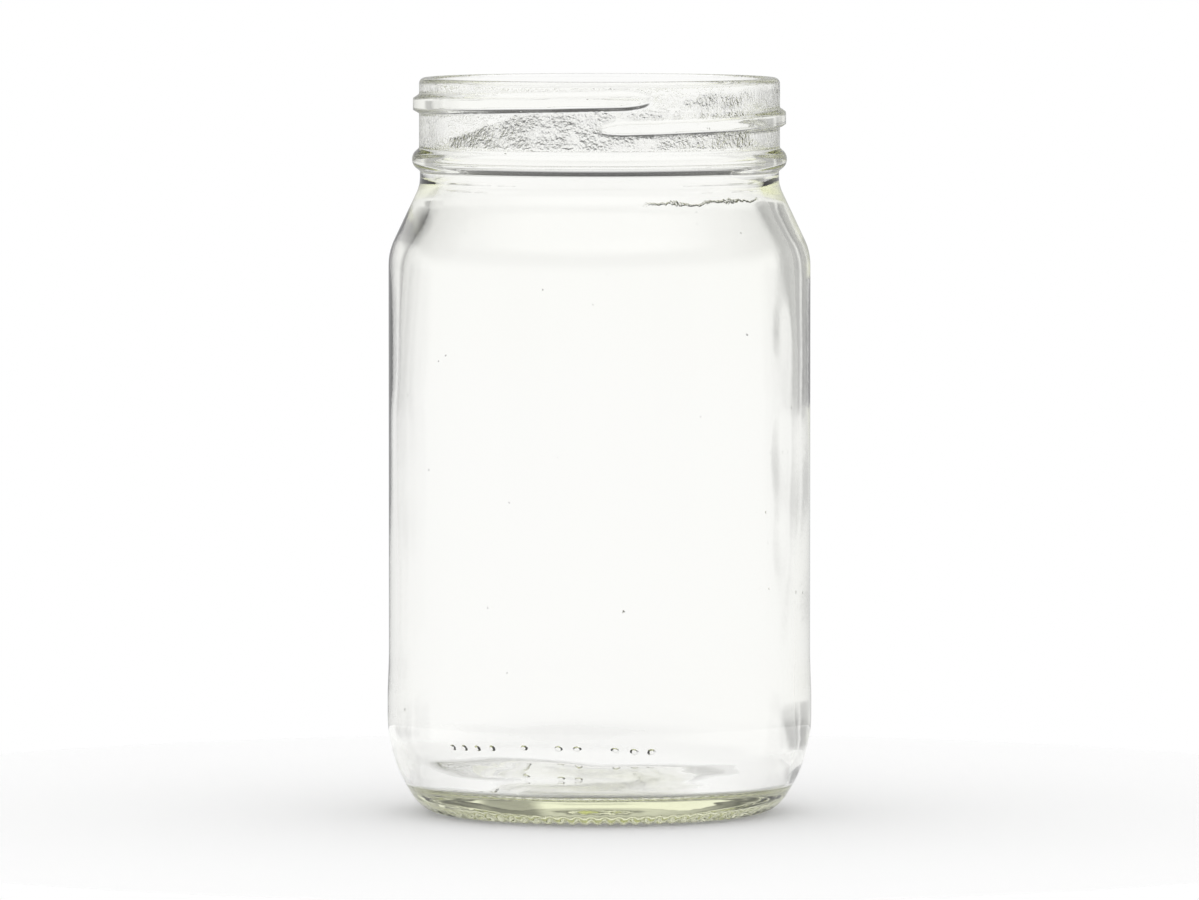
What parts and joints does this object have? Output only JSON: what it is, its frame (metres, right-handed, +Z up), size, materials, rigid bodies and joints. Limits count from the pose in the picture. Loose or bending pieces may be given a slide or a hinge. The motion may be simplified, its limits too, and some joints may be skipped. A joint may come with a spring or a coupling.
{
  "type": "glass jar",
  "caption": "Empty clear glass food jar with a straight round body, curved heel and shoulder, and a wide threaded mouth above a locking bead.",
  "frame": {"origin": "middle of the foot ring, on the surface the jar stands on", "axes": "+Z up along the jar's axis towards the mouth; the thread starts and ends on the -Y side, which is the front"},
  "size_m": [0.0788, 0.0788, 0.1364],
  "materials": {
    "flint_glass": "clear soda-lime glass, blown in a polished mould, fire-finished rim"
  },
  "bodies": {
    "root": {"jar": "flint_glass"}
  },
  "joints": []
}
